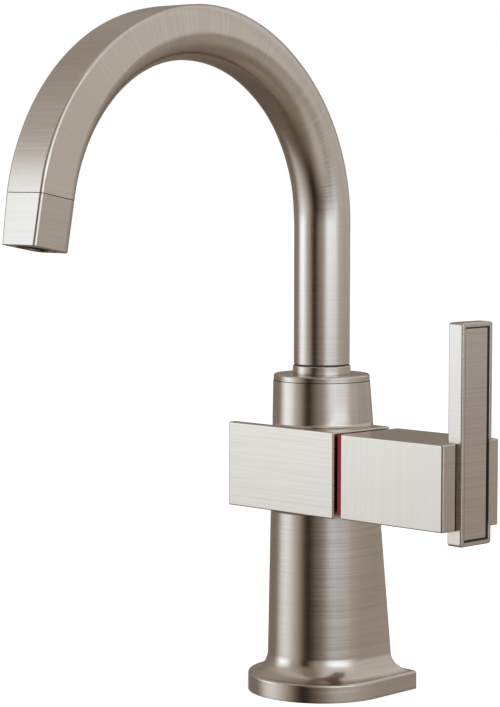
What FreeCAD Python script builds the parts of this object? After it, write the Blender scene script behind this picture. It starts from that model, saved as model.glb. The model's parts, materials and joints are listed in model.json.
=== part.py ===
import FreeCAD, Part
import math
import os

V = FreeCAD.Vector
ALONG_X = V(1, 0, 0)
ALONG_Z = V(0, 0, 1)

# Instant hot water tap, in millimetres. The deck is the plane Z = 0 and the column stands on
# the Z axis. The spout points to -Y, which is the front, and the handle is at +X, the right.

# Clearances
RUNNING_FIT = 0.05       # radial, between a turning shaft and its bore
FACE_GAP = 0.05          # between flat faces that turn against each other
SEAT_GAP = 0.05          # round pieces that are fitted and stay still
TURNING_GAP = 0.4        # around turning pieces that only have to clear
DISC_GAP = 0.1           # round the ceramic discs
LINER_GAP = 0.1          # round the liner in the tip's socket
INNER_EDGE = 0.25        # broken edges on turned pieces
PICK_TOLERANCE = 0.02    # how near an edge lies to the place where it is looked for

# Foot flange: half round in front, straight sides and a flat back
FLANGE_RADIUS = 31.3
FLANGE_BACK = 29.4
FLANGE_LEAN = 1.8        # degrees that each side leans inwards towards the back
FLANGE_CORNER = 1.8
FLANGE_HEIGHT = 7.9
FLANGE_EDGE = 1.1
FLARE_HEIGHT = 8.6       # hollow curve from the flange into the column
FLARE_LAND = 2.2         # flat margin left round the flare
FLARE_TURN = 76.0        # degrees that the hollow curve turns through
FLARE_STEPS = 6

# Column: the foot's outline at the top of the flare, drawn out to a circle at the top
COLUMN_RADIUS = 22.8
COLUMN_BACK = 21.2
COLUMN_CORNER = 1.8
COLUMN_TOP_RADIUS = 20.8
COLUMN_RISE = 36.8       # from the valve's axis to the column's top
CORNER_SPREAD = 4.0      # degrees of the top circle that each back corner fades into
COLUMN_BORE = 17.5       # hollow of the column
WEB_DROP = 25.2          # from the valve's axis to the underside of the solid part round it

# Valve block and the valve's axis, which lies along X
VALVE_Y = -6.0
VALVE_Z = 97.2
BLOCK_LEFT = -33.0
BLOCK_RIGHT = 29.0
BLOCK_DEPTH = 35.4
BLOCK_HEIGHT = 36.2
BLOCK_CORNER = 0.8       # upright corners
BLOCK_EDGE = 0.6
PLATE_DEPTH = 4.5        # left of the column the block is only a plate at the front
JUNCTION_FILLET = 1.2    # hollow fillet where the column meets the block

# Base insert, stud and inlet
INSERT_RADIUS = 18.6
INSERT_BOTTOM = 1.0
INSERT_HEIGHT = 12.0
LEDGE_BORE = 13.0        # inner flange above the insert
LEDGE_HEIGHT = 7.0
STUD_X = 8.0
STUD_Y = 4.0
STUD_HOLE_RADIUS = 3.4   # M8, modelled at the thread's inner wall
STUD_HOLE_DEPTH = 10.0
INLET_X = -11.0
INLET_THREAD_RADIUS = 4.5  # M10 x 1, modelled at the thread's inner wall
INLET_THREAD_DEPTH = 6.0
INLET_TUBE_RADIUS = 4.0
INLET_TUBE_BORE = 3.0
INLET_SOCKET = 5.0       # how deep the tube goes into the insert's and the web's sockets
INSERT_SCREW_COUNT = 3
INSERT_SCREW_RADIUS = 1.25  # M2.5
INSERT_SCREW_HEAD = 2.5  # height of the head
INSERT_SCREW_HEAD_RADIUS = 2.25
INSERT_SCREW_KEY = 2.0
INSERT_SCREW_REACH = 5.0  # thread in the ledge
GASKET_MARGIN = 3.6      # from the insert to the gasket
GASKET_WIDTH = 3.2
GASKET_DEPTH = 2.2

# Valve cartridge, from the inlet end to the handle
CHAMBER_END = -6.0
CHAMBER_RADIUS = 10.0
NUT_STEP = 2.0           # the mouth of the chamber, for the nut, is this much wider
NUT_DEPTH = 8.8
SLEEVE_BORE = 8.6
SEAL_LENGTH = 2.4
SEAL_CLEAR = 0.3         # between the seal's hole and the ports
SEAL_PROUD = 0.3
DISC_THICKNESS = 3.0
DISC_PORT_RADIUS = 2.1
DISC_PORT_OFFSET = 4.5
CARRIER_THICKNESS = 2.5
TONGUE_WIDTH = 2.4
TONGUE_LENGTH = 12.0
TONGUE_HEIGHT = 1.0
GLAND_LENGTH = 8.5       # solid end of the sleeve, round the spindle
SLEEVE_FLANGE = 2.5
STEM_RADIUS = 4.0
STEM_SHY = 2.0           # the spindle stops this far inside the bush
STEM_FLAT = 3.0          # from the axis to the flat
STEM_ROOM = 1.0          # round the spindle, in pieces that only have to clear it
CLIP_THICKNESS = 0.9
CLIP_DEPTH = 0.8         # depth of the clip's groove
CLIP_STAND = 1.6         # how far a clip stands proud of its shaft
CLIP_MOUTH = 2.4
NUT_INNER = 8.0
NUT_SHY = 0.8            # the nut stops this far inside the block's face
NUT_NOTCH_WIDTH = 3.0
NUT_NOTCH_DEPTH = 2.0
WINDOW_SETBACK = 0.45    # from the back of the turning disc
WINDOW_LENGTH = 6.0
WINDOW_WIDTH = 6.0
OUTLET_X = 4.5
OUTLET_Y = -3.6
OUTLET_RADIUS = 2.7

# O-rings: radius of the rubber's own section
STEM_RING = 0.9
SLEEVE_RING = 1.1
TUBE_RING = 0.75
SHANK_RING = 1.1
RING_ROOM = 0.15         # extra half width of each groove

# Handle: square hub on the valve's axis, with an upright blade let into its end
HUB_LENGTH = 55.3
HUB_SIDE = 35.4
HUB_CORNER = 1.0         # upright corners at the blade's end
HUB_EDGE = 0.6
HUB_WALL = 3.2
HUB_END_WALL = 3.4       # behind the blade's slot
WASHER_THICKNESS = 1.6
WASHER_OUTER = 15.0
INDICATOR_THICKNESS = 1.9
INDICATOR_INSET = 0.4    # from the hub's top, front and back
INDICATOR_RAISE = 1.6    # from the hub's underside
INDICATOR_SPIGOT = 2.4
BUSH_SETBACK = 0.7       # from the core's face to the bush
BUSH_RADIUS = 7.0
BUSH_LENGTH = 16.0
CORE_LENGTH = 22.7
SET_SCREW_RADIUS = 2.5
SET_SCREW_LENGTH = 10.0
SET_SCREW_KEY = 2.5
SET_SCREW_KEY_DEPTH = 3.3
PLUG_THICKNESS = 1.8
BLADE_SLOT = 4.5         # how deep the blade is let into the hub
SLOT_EDGE = 0.5          # rounding of the slot's mouth
BLADE_THICKNESS = 7.4
BLADE_WIDTH = 19.1
BLADE_RISE = 66.15       # above the valve's axis
BLADE_DROP = 24.1        # below the valve's axis
BLADE_CORNER = 1.3       # the four corners of its face
BLADE_EDGE = 0.7
BLADE_RIM = 1.8
TRAY_DEPTH = 2.8
PAD_THICKNESS = 0.6      # black rubber pad that holds the inlay
PAD_LIP = 0.3            # its raised border, which lines the recess
PAD_LIP_SHY = 0.15       # from the blade's face to the border
INLAY_GAP = 0.4          # from the border to the inlay
INLAY_SHY = 0.75         # the inlay's face lies this far inside the rim
INLAY_EDGE = 0.3
BLADE_SCREW_SPACING = 20.0
BLADE_SCREW_RADIUS = 2.0  # M4
BLADE_SCREW_HEAD = 4.0   # height of the head
BLADE_SCREW_HEAD_RADIUS = 3.5
BLADE_SCREW_KEY = 3.0
BLADE_SCREW_REACH = 3.2

# Collar and glide ring on the column's top
COLLAR_STEP = 0.2        # the collar is this much smaller than the column
COLLAR_THICKNESS = 2.8
COLLAR_EDGE = 0.8
NECK_STEP = 0.4          # the neck is this much larger than the tube
NECK_HEIGHT = 3.7
NECK_EDGE = 0.5
SPIGOT_RADIUS = 16.0
SPIGOT_LENGTH = 10.0
GLIDE_THICKNESS = 0.7
GLIDE_SHY = 0.2          # the ring is this much smaller than the tube

# Spout: a round leg, then an arc whose section turns from round to square
TUBE_RADIUS = 12.0
TUBE_WALL = 1.6
LEG_LENGTH = 60.0
ARC_RADIUS = 78.2
OUTLET_LEAN = 10.5       # degrees between the outlet and the vertical
END_RUN = 2.0
TIP_LENGTH = 20.3
SEAM_HALF_WIDTH = 10.5   # the section at the seam, from the middle line
SEAM_OUTER = 10.1
SEAM_INNER = 8.7
OUTLET_HALF_WIDTH = 9.8  # the section at the outlet
OUTLET_OUTER = 9.4
OUTLET_INNER = 9.4
OUTER_CORNER = 1.3
INNER_CORNER = 3.8
MORPH_START = 44.0       # degrees along the arc where the outer half starts to change
CREASE_END = 117.0       # where the outer corners are crisp
FACE_END = 106.0         # where the outer face is flat
SQUARE_START = 76.0      # where the sides and the inner face start to change
SQUARE_END = 168.0       # where they are done
SECTION_STEPS = 16
ROUND_SPAN = 4.0         # degrees of the round section that grow into each flat side
TIP_EDGE = 0.3

# Spout's journal and water way
SHANK_STEP = 0.9         # the journal is this much smaller than the tube's bore
SHANK_DEPTH = 21.6       # how far the shank goes down into the column
SHANK_BORE = 4.6
SHANK_RISE = 17.0        # how far the shank goes up inside the tube
SOCKET_FLOOR_GAP = 0.4
CLIP_ROOM = 2.2          # height of the clip's chamber
LINER_WALL = 1.3
LINER_SEAT = 8.0
TIP_SPIGOT_GAP = 0.2
TIP_SPIGOT_LENGTH = 5.0
TIP_SPIGOT_WALL = 0.8
LINER_STOP = 4.0         # how far past the seam the liner ends
AERATOR_BORE = 7.9
AERATOR_START = 8.0
AERATOR_GASKET = 1.6
AERATOR_GASKET_INNER = 5.4
SCREEN_THICKNESS = 0.8
SCREEN_HOLE = 0.45
SCREEN_PITCH = 1.35
AERATOR_RING_LENGTH = 2.3
STRAIGHTENER_HOLE = 0.85
STRAIGHTENER_PITCH = 2.2
STREAM_RADIUS = 6.0      # the aerator's holes lie inside this radius
AERATOR_SHY = 0.6

# Worked out from the sizes above: body
FLARE_TOP = FLANGE_HEIGHT + FLARE_HEIGHT
COLUMN_TOP = VALVE_Z + COLUMN_RISE
WEB_BOTTOM = VALVE_Z - WEB_DROP
INSERT_TOP = INSERT_BOTTOM + INSERT_HEIGHT
INSERT_SCREW_CIRCLE = (LEDGE_BORE + INSERT_RADIUS) / 2
LEDGE_TOP = INSERT_TOP + LEDGE_HEIGHT
GASKET_INNER = INSERT_RADIUS + GASKET_MARGIN
GASKET_OUTER = GASKET_INNER + GASKET_WIDTH
TUBE_LOW = INSERT_TOP - INLET_SOCKET
TUBE_HIGH = WEB_BOTTOM + INLET_SOCKET

# Worked out: valve
NUT_BORE = CHAMBER_RADIUS + NUT_STEP
NUT_SHOULDER = BLOCK_RIGHT - NUT_DEPTH
GLAND_START = NUT_SHOULDER - GLAND_LENGTH
SEAL_END = CHAMBER_END + SEAL_LENGTH
SEAL_INNER = DISC_PORT_OFFSET + DISC_PORT_RADIUS + SEAL_CLEAR
DISC_RADIUS = SLEEVE_BORE - DISC_GAP
FIXED_DISC_END = SEAL_END + DISC_THICKNESS
ROTATING_DISC_START = FIXED_DISC_END + FACE_GAP
CARRIER_START = ROTATING_DISC_START + DISC_THICKNESS
WINDOW_START = CARRIER_START + WINDOW_SETBACK
SLEEVE_END = NUT_SHOULDER + SLEEVE_FLANGE
STEM_CLIP_START = SLEEVE_END + FACE_GAP
STEM_HOLE = STEM_RADIUS + STEM_ROOM

# Worked out: handle
INDICATOR_LEFT = BLOCK_RIGHT + WASHER_THICKNESS + TURNING_GAP
HUB_LEFT = INDICATOR_LEFT + INDICATOR_THICKNESS
HUB_RIGHT = HUB_LEFT + HUB_LENGTH
HUB_HALF = HUB_SIDE / 2
BLADE_LEFT = HUB_RIGHT - BLADE_SLOT
BLADE_RIGHT = BLADE_LEFT + BLADE_THICKNESS
BLADE_TOP = VALVE_Z + BLADE_RISE
BLADE_BOTTOM = VALVE_Z - BLADE_DROP
TRAY_FLOOR = BLADE_RIGHT - TRAY_DEPTH
PAD_FACE = TRAY_FLOOR + PAD_THICKNESS
PAD_INSIDE = BLADE_RIM + SEAT_GAP + PAD_LIP
POCKET_HALF = HUB_HALF - HUB_WALL
POCKET_END = BLADE_LEFT - HUB_END_WALL
CORE_START = HUB_LEFT + INDICATOR_SPIGOT
CORE_END = CORE_START + CORE_LENGTH
BUSH_START = CORE_START + BUSH_SETBACK
BUSH_END = BUSH_START + BUSH_LENGTH
STEM_END = BUSH_END - STEM_SHY
SET_SCREW_X = (BUSH_START + BUSH_END) / 2

# Worked out: collar and spout
COLLAR_RADIUS = COLUMN_TOP_RADIUS - COLLAR_STEP
COLLAR_TOP = COLUMN_TOP + COLLAR_THICKNESS
NECK_RADIUS = TUBE_RADIUS + NECK_STEP
NECK_TOP = COLLAR_TOP + NECK_HEIGHT
GLIDE_RADIUS = TUBE_RADIUS - GLIDE_SHY
LEG_BOTTOM = NECK_TOP + GLIDE_THICKNESS
LEG_TOP = LEG_BOTTOM + LEG_LENGTH
SHANK_BOTTOM = COLUMN_TOP - SHANK_DEPTH
SHANK_TOP = LEG_BOTTOM + SHANK_RISE
SPIGOT_BOTTOM = COLUMN_TOP - SPIGOT_LENGTH
SOCKET_TOP = SPIGOT_BOTTOM - CLIP_ROOM
SHANK_CLIP_START = SOCKET_TOP + (CLIP_ROOM - CLIP_THICKNESS) / 2
TUBE_BORE = TUBE_RADIUS - TUBE_WALL
SHANK_RADIUS = TUBE_BORE - SHANK_STEP
ARC_SWEEP = 180 - OUTLET_LEAN
ARC_CENTRE = V(0, -ARC_RADIUS, LEG_TOP)
TIP_SPIGOT_RADIUS = min(SEAM_HALF_WIDTH, SEAM_OUTER, SEAM_INNER) - TUBE_WALL - TIP_SPIGOT_GAP
LINER_RADIUS = TIP_SPIGOT_RADIUS - TIP_SPIGOT_WALL - LINER_GAP
LINER_LOW = SHANK_TOP - LINER_SEAT


def cylinder(radius, start, length, axis):
    return Part.makeCylinder(radius, length, start, axis)


def pipe(outer, inner, start, length, axis):
    return cylinder(outer, start, length, axis).cut(cylinder(inner, start, length, axis))


def box(x0, x1, y0, y1, z0, z1):
    return Part.makeBox(x1 - x0, y1 - y0, z1 - z0, V(x0, y0, z0))


def valve_point(x, rise=0.0):
    return V(x, VALVE_Y, VALVE_Z + rise)


def valve_bar(x0, x1, half_depth, half_height):
    return box(x0, x1, VALVE_Y - half_depth, VALVE_Y + half_depth,
               VALVE_Z - half_height, VALVE_Z + half_height)


def along(shape, start, axis):
    """Put a shape that was made along Z from the origin onto another line."""
    moved = shape.copy()
    moved.Placement = FreeCAD.Placement(start, FreeCAD.Rotation(ALONG_Z, axis))
    return moved


def hexagon(across_flats, depth):
    reach = across_flats / math.sqrt(3)
    turns = [math.radians(60 * i) for i in range(7)]
    points = [V(reach * math.cos(a), reach * math.sin(a), 0) for a in turns]
    return Part.Face(Part.makePolygon(points)).extrude(V(0, 0, depth))


def cap_screw(radius, length, head_radius, head_height, key):
    """Cap screw along Z, with a hexagon socket: its head starts at the origin."""
    head = cylinder(head_radius, V(), head_height, ALONG_Z)
    shank = cylinder(radius, V(0, 0, head_height), length, ALONG_Z)
    return head.fuse(shank).removeSplitter().cut(hexagon(key, head_height / 2))


def o_ring(surface_radius, section, centre, axis):
    """Ring whose outside lies level with the shaft that it is let into."""
    return Part.makeTorus(surface_radius - section, section, centre, axis)


def ring_groove(surface_radius, section, centre, axis):
    half = section + RING_ROOM
    start = centre - axis * half
    inner = surface_radius - 2 * section - SEAT_GAP
    return pipe(surface_radius + section, inner, start, 2 * half, axis)


def spring_clip(shaft_radius, start, axis):
    """Open ring in a groove of a shaft."""
    outer = shaft_radius + CLIP_STAND
    ring = pipe(outer, shaft_radius - CLIP_DEPTH + SEAT_GAP, V(), CLIP_THICKNESS, ALONG_Z)
    mouth = box(0, outer, -CLIP_MOUTH / 2, CLIP_MOUTH / 2, 0, CLIP_THICKNESS)
    return along(ring.cut(mouth), start, axis)


def clip_groove(shaft_radius, start, axis):
    low = start - axis * FACE_GAP
    width = CLIP_THICKNESS + 2 * FACE_GAP
    return pipe(shaft_radius + CLIP_STAND, shaft_radius - CLIP_DEPTH, low, width, axis)


def runs_along(edge, axis):
    """Whether an edge is straight and lies in the direction of an axis."""
    reach = edge.Vertexes[-1].Point - edge.Vertexes[0].Point
    return abs(reach.dot(axis)) > edge.Length - PICK_TOLERANCE


def is_level(edge):
    return edge.BoundBox.ZLength < PICK_TOLERANCE


def arc_edge(first, middle, last):
    return Part.Arc(first, middle, last).toShape()


def line_edge(first, last):
    return Part.LineSegment(first, last).toShape()


def circle_point(radius, degrees, z):
    angle = math.radians(degrees)
    return V(radius * math.cos(angle), radius * math.sin(angle), z)


def mirrored(point):
    return V(-point.x, point.y, point.z)


def foot_outline(radius, back, corner, lean, z):
    """Half round in front, leaning sides, flat back with rounded corners: seven edges."""
    turn = math.radians(lean)
    across = (radius - corner - (back - corner) * math.sin(turn)) / math.cos(turn)
    centre = V(across, back - corner, z)
    front = V(0, -radius, z)
    front_right = circle_point(radius, 315 + lean / 2, z)
    right = circle_point(radius, lean, z)
    right_side = centre + circle_point(corner, lean, 0)
    right_corner = centre + circle_point(corner, (lean + 90) / 2, 0)
    right_back = centre + circle_point(corner, 90, 0)
    return Part.Wire([
        arc_edge(mirrored(right), mirrored(front_right), front),
        arc_edge(front, front_right, right),
        line_edge(right, right_side),
        arc_edge(right_side, right_corner, right_back),
        line_edge(right_back, mirrored(right_back)),
        arc_edge(mirrored(right_back), mirrored(right_corner), mirrored(right_side)),
        line_edge(mirrored(right_side), mirrored(right)),
    ])


def round_outline(radius, z):
    """Circle cut at the places that the foot's seven edges run up to."""
    turns = [180, 270, 360, 405 - CORNER_SPREAD, 405 + CORNER_SPREAD,
             495 - CORNER_SPREAD, 495 + CORNER_SPREAD, 540]
    edges = []
    for first, last in zip(turns, turns[1:]):
        middle = circle_point(radius, (first + last) / 2, z)
        edges.append(arc_edge(circle_point(radius, first, z), middle, circle_point(radius, last, z)))
    return Part.Wire(edges)


def flare_outline(share):
    """One level of the hollow curve, from the column (0) down to the flange (1)."""
    turn = math.radians(FLARE_TURN)
    spread = (1 - math.cos(turn * share)) / (1 - math.cos(turn))
    z = FLARE_TOP - FLARE_HEIGHT * math.sin(turn * share) / math.sin(turn)
    radius = COLUMN_RADIUS + (FLANGE_RADIUS - FLARE_LAND - COLUMN_RADIUS) * spread
    back = COLUMN_BACK + (FLANGE_BACK - FLARE_LAND - COLUMN_BACK) * spread
    corner = COLUMN_CORNER + (FLANGE_CORNER - COLUMN_CORNER) * spread
    return foot_outline(radius, back, corner, FLANGE_LEAN * spread, z)


def foot_flange():
    slab = Part.Face(foot_outline(FLANGE_RADIUS, FLANGE_BACK, FLANGE_CORNER, FLANGE_LEAN, 0))
    slab = slab.extrude(V(0, 0, FLANGE_HEIGHT))
    rim = [edge for edge in slab.Edges if edge.BoundBox.ZMin > FLANGE_HEIGHT / 2]
    return slab.makeFillet(FLANGE_EDGE, rim)


def column():
    low = foot_outline(COLUMN_RADIUS, COLUMN_BACK, COLUMN_CORNER, 0, FLARE_TOP)
    high = round_outline(COLUMN_TOP_RADIUS, COLUMN_TOP)
    return Part.makeLoft([low, high], True, True)


def casting_outside():
    levels = [1 - i / FLARE_STEPS for i in range(FLARE_STEPS + 1)]
    flare = Part.makeLoft([flare_outline(level) for level in levels], True, False)
    upper = column().fuse(valve_block())
    joints = [edge for edge in upper.Edges if is_block_joint(edge)]
    upper = upper.makeFillet(JUNCTION_FILLET, joints)
    return foot_flange().fuse(flare).fuse(upper)


def valve_block():
    """Square bar to the right of the column's axis, and to the left a plate in line with its front."""
    front = VALVE_Y - BLOCK_DEPTH / 2
    half = BLOCK_HEIGHT / 2
    bar = valve_bar(0, BLOCK_RIGHT, BLOCK_DEPTH / 2, half)
    plate = box(BLOCK_LEFT, 0, front, front + PLATE_DEPTH, VALVE_Z - half, VALVE_Z + half)
    block = bar.fuse(plate).removeSplitter()
    corners = [edge for edge in block.Edges if stands_clear(edge) and runs_along(edge, ALONG_Z)]
    block = block.makeFillet(BLOCK_CORNER, corners)
    rims = [edge for edge in block.Edges if stands_clear(edge) and is_level(edge)]
    return block.makeFillet(BLOCK_EDGE, rims)


def stands_clear(edge):
    """Edges of the block that don't lie on the plane through the column's axis."""
    return max(-edge.BoundBox.XMin, edge.BoundBox.XMax) > PICK_TOLERANCE


def is_block_joint(edge):
    """Edges where the column comes out of the block's top and bottom."""
    height = abs(edge.BoundBox.ZMin - VALVE_Z)
    at_column = all(math.hypot(vertex.X, vertex.Y) < COLUMN_RADIUS for vertex in edge.Vertexes)
    return is_level(edge) and at_column and abs(height - BLOCK_HEIGHT / 2) < PICK_TOLERANCE


def insert_screw_points(z):
    first = math.degrees(math.atan2(VALVE_Y, INLET_X)) + 180 / INSERT_SCREW_COUNT
    step = 360 / INSERT_SCREW_COUNT
    return [circle_point(INSERT_SCREW_CIRCLE, first + step * i, z) for i in range(INSERT_SCREW_COUNT)]


def body_casting():
    body = casting_outside()
    inlet = V(INLET_X, VALVE_Y, 0)
    hollows = [
        cylinder(INSERT_RADIUS, V(), INSERT_TOP, ALONG_Z),
        cylinder(LEDGE_BORE, V(), LEDGE_TOP, ALONG_Z),
        cylinder(COLUMN_BORE, V(0, 0, LEDGE_TOP), WEB_BOTTOM - LEDGE_TOP, ALONG_Z),
        cylinder(INLET_TUBE_RADIUS + SEAT_GAP, inlet, TUBE_HIGH + SEAT_GAP, ALONG_Z),
        cylinder(INLET_TUBE_BORE, inlet, VALVE_Z, ALONG_Z),
        cylinder(INLET_TUBE_BORE, valve_point(INLET_X), CHAMBER_END - INLET_X, ALONG_X),
        Part.makeSphere(INLET_TUBE_BORE, valve_point(INLET_X)),
        cylinder(CHAMBER_RADIUS, valve_point(CHAMBER_END), BLOCK_RIGHT - CHAMBER_END, ALONG_X),
        cylinder(NUT_BORE, valve_point(NUT_SHOULDER), BLOCK_RIGHT - NUT_SHOULDER, ALONG_X),
        cylinder(OUTLET_RADIUS, V(OUTLET_X, OUTLET_Y, VALVE_Z), SHANK_BOTTOM - VALVE_Z, ALONG_Z),
        cylinder(SHANK_RADIUS + RUNNING_FIT, V(0, 0, SHANK_BOTTOM - SOCKET_FLOOR_GAP), COLUMN_TOP, ALONG_Z),
        cylinder(SPIGOT_RADIUS, V(0, 0, SOCKET_TOP), COLUMN_TOP - SOCKET_TOP, ALONG_Z),
        pipe(GASKET_OUTER, GASKET_INNER, V(), GASKET_DEPTH, ALONG_Z),
        tube_ring_groove(WEB_BOTTOM + INLET_SOCKET / 2),
    ]
    reach = INSERT_SCREW_REACH + SEAT_GAP
    for point in insert_screw_points(INSERT_TOP):
        hollows.append(cylinder(INSERT_SCREW_RADIUS + SEAT_GAP, point, reach, ALONG_Z))
    return body.cut(hollows)


def tube_ring_groove(z):
    half = TUBE_RING + RING_ROOM
    outer = INLET_TUBE_RADIUS + 2 * (TUBE_RING + SEAT_GAP)
    return cylinder(outer, V(INLET_X, VALVE_Y, z - half), 2 * half, ALONG_Z)


def base_insert():
    insert = cylinder(INSERT_RADIUS - SEAT_GAP, V(0, 0, INSERT_BOTTOM), INSERT_HEIGHT, ALONG_Z)
    inlet = V(INLET_X, VALVE_Y, INSERT_BOTTOM)
    socket = V(INLET_X, VALVE_Y, TUBE_LOW - SEAT_GAP)
    hollows = [
        cylinder(STUD_HOLE_RADIUS, V(STUD_X, STUD_Y, INSERT_BOTTOM), STUD_HOLE_DEPTH, ALONG_Z),
        cylinder(INLET_THREAD_RADIUS, inlet, INLET_THREAD_DEPTH, ALONG_Z),
        cylinder(INLET_TUBE_BORE, inlet, INSERT_HEIGHT, ALONG_Z),
        cylinder(INLET_TUBE_RADIUS + SEAT_GAP, socket, INSERT_HEIGHT, ALONG_Z),
        tube_ring_groove(INSERT_TOP - INLET_SOCKET / 2),
    ]
    for point in insert_screw_points(INSERT_BOTTOM):
        hollows.append(cylinder(INSERT_SCREW_RADIUS + SEAT_GAP, point, INSERT_HEIGHT, ALONG_Z))
        hollows.append(cylinder(INSERT_SCREW_HEAD_RADIUS + SEAT_GAP, point, INSERT_SCREW_HEAD, ALONG_Z))
    return insert.cut(hollows)


def base_insert_screws():
    length = INSERT_HEIGHT - INSERT_SCREW_HEAD + INSERT_SCREW_REACH
    screw = cap_screw(INSERT_SCREW_RADIUS, length, INSERT_SCREW_HEAD_RADIUS,
                      INSERT_SCREW_HEAD, INSERT_SCREW_KEY)
    return Part.makeCompound([along(screw, p, ALONG_Z) for p in insert_screw_points(INSERT_BOTTOM)])


def base_gasket():
    return pipe(GASKET_OUTER - SEAT_GAP, GASKET_INNER + SEAT_GAP, V(), GASKET_DEPTH, ALONG_Z)


def inlet_tube():
    return pipe(INLET_TUBE_RADIUS, INLET_TUBE_BORE, V(INLET_X, VALVE_Y, TUBE_LOW),
                TUBE_HIGH - TUBE_LOW, ALONG_Z)


def inlet_tube_o_rings():
    levels = (INSERT_TOP - INLET_SOCKET / 2, WEB_BOTTOM + INLET_SOCKET / 2)
    middle = INLET_TUBE_RADIUS + SEAT_GAP + TUBE_RING
    rings = [Part.makeTorus(middle, TUBE_RING, V(INLET_X, VALVE_Y, z), ALONG_Z) for z in levels]
    return Part.makeCompound(rings)


def seat_seal():
    return pipe(SLEEVE_BORE - SEAT_GAP, SEAL_INNER, valve_point(CHAMBER_END), SEAL_LENGTH, ALONG_X)


def ceramic_disc(start, port_axis):
    disc = cylinder(DISC_RADIUS, start, DISC_THICKNESS, ALONG_X)
    for side in (-1, 1):
        port = start + port_axis * (side * DISC_PORT_OFFSET)
        disc = disc.cut(cylinder(DISC_PORT_RADIUS, port, DISC_THICKNESS, ALONG_X))
    return disc


def fixed_disc():
    return ceramic_disc(valve_point(SEAL_END), V(0, 1, 0))


def drive_tongue(room):
    return valve_bar(CARRIER_START - TONGUE_HEIGHT - room, CARRIER_START,
                     TONGUE_LENGTH / 2 + room, TONGUE_WIDTH / 2 + room)


def rotating_disc():
    return ceramic_disc(valve_point(ROTATING_DISC_START), ALONG_Z).cut(drive_tongue(SEAT_GAP))


def cartridge_sleeve():
    start = CHAMBER_END + SEAL_PROUD
    outside = cylinder(CHAMBER_RADIUS - SEAT_GAP, valve_point(start), SLEEVE_END - start, ALONG_X)
    flange = cylinder(NUT_BORE - SEAT_GAP, valve_point(NUT_SHOULDER), SLEEVE_FLANGE, ALONG_X)
    hollows = [
        cylinder(SLEEVE_BORE, valve_point(start), GLAND_START - start, ALONG_X),
        cylinder(STEM_RADIUS + RUNNING_FIT, valve_point(start), SLEEVE_END - start, ALONG_X),
        box(WINDOW_START, WINDOW_START + WINDOW_LENGTH, VALVE_Y - WINDOW_WIDTH / 2,
            VALVE_Y + WINDOW_WIDTH / 2, VALVE_Z, VALVE_Z + CHAMBER_RADIUS),
        ring_groove(CHAMBER_RADIUS, SLEEVE_RING, sleeve_ring_centre(), ALONG_X),
    ]
    return outside.fuse(flange).removeSplitter().cut(hollows)


def sleeve_ring_centre():
    return valve_point((GLAND_START + NUT_SHOULDER) / 2)


def cartridge_o_ring():
    return o_ring(CHAMBER_RADIUS, SLEEVE_RING, sleeve_ring_centre(), ALONG_X)


def bonnet_nut():
    end = BLOCK_RIGHT - NUT_SHY
    nut = pipe(NUT_BORE - SEAT_GAP, NUT_INNER, valve_point(SLEEVE_END), end - SLEEVE_END, ALONG_X)
    across = valve_bar(end - NUT_NOTCH_DEPTH, end, NUT_BORE, NUT_NOTCH_WIDTH / 2)
    upright = valve_bar(end - NUT_NOTCH_DEPTH, end, NUT_NOTCH_WIDTH / 2, NUT_BORE)
    return nut.cut(across).cut(upright)


def hub_washer():
    return pipe(WASHER_OUTER, STEM_HOLE, valve_point(BLOCK_RIGHT), WASHER_THICKNESS, ALONG_X)


def stem_ring_centres():
    third = (SLEEVE_END - GLAND_START) / 3
    return [valve_point(GLAND_START + third), valve_point(GLAND_START + 2 * third)]


def valve_stem():
    carrier = cylinder(SLEEVE_BORE - TURNING_GAP, valve_point(CARRIER_START), CARRIER_THICKNESS, ALONG_X)
    for side in (-1, 1):
        port = valve_point(CARRIER_START, side * DISC_PORT_OFFSET)
        carrier = carrier.cut(cylinder(DISC_PORT_RADIUS, port, CARRIER_THICKNESS, ALONG_X))
    spindle = cylinder(STEM_RADIUS, valve_point(CARRIER_START), STEM_END - CARRIER_START, ALONG_X)
    stem = carrier.fuse(spindle).fuse(drive_tongue(0)).removeSplitter()
    for centre in stem_ring_centres():
        stem = stem.cut(ring_groove(STEM_RADIUS, STEM_RING, centre, ALONG_X))
    stem = stem.cut(clip_groove(STEM_RADIUS, valve_point(STEM_CLIP_START), ALONG_X))
    return stem.cut(below_flat(STEM_FLAT))


def below_flat(depth):
    """Room below the flat on the spindle's end, for the whole length of the bush."""
    return box(BUSH_START, BUSH_END, VALVE_Y - BUSH_RADIUS, VALVE_Y + BUSH_RADIUS,
               VALVE_Z - BUSH_RADIUS, VALVE_Z - depth)


def stem_o_rings():
    return Part.makeCompound([o_ring(STEM_RADIUS, STEM_RING, c, ALONG_X) for c in stem_ring_centres()])


def stem_clip():
    return spring_clip(STEM_RADIUS, valve_point(STEM_CLIP_START), ALONG_X)


def set_screw_hole(low, high):
    start = V(SET_SCREW_X, VALVE_Y, low)
    return cylinder(SET_SCREW_RADIUS + SEAT_GAP, start, high - low, ALONG_Z)


def drive_bush():
    start = valve_point(BUSH_START)
    bush = cylinder(BUSH_RADIUS - SEAT_GAP, start, BUSH_LENGTH, ALONG_X)
    bore = cylinder(STEM_RADIUS + SEAT_GAP, start, BUSH_LENGTH, ALONG_X)
    bore = bore.cut(below_flat(STEM_FLAT + SEAT_GAP))
    return bush.cut(bore).cut(set_screw_hole(VALVE_Z - BUSH_RADIUS, VALVE_Z - STEM_FLAT))


def hub_core():
    half = POCKET_HALF - SEAT_GAP
    core = valve_bar(CORE_START, CORE_END, half, half)
    core = core.cut(cylinder(STEM_HOLE, valve_point(CORE_START), BUSH_SETBACK, ALONG_X))
    core = core.cut(cylinder(BUSH_RADIUS, valve_point(BUSH_START), BUSH_LENGTH + SEAT_GAP, ALONG_X))
    return core.cut(set_screw_hole(VALVE_Z - POCKET_HALF, VALVE_Z - STEM_FLAT))


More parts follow.
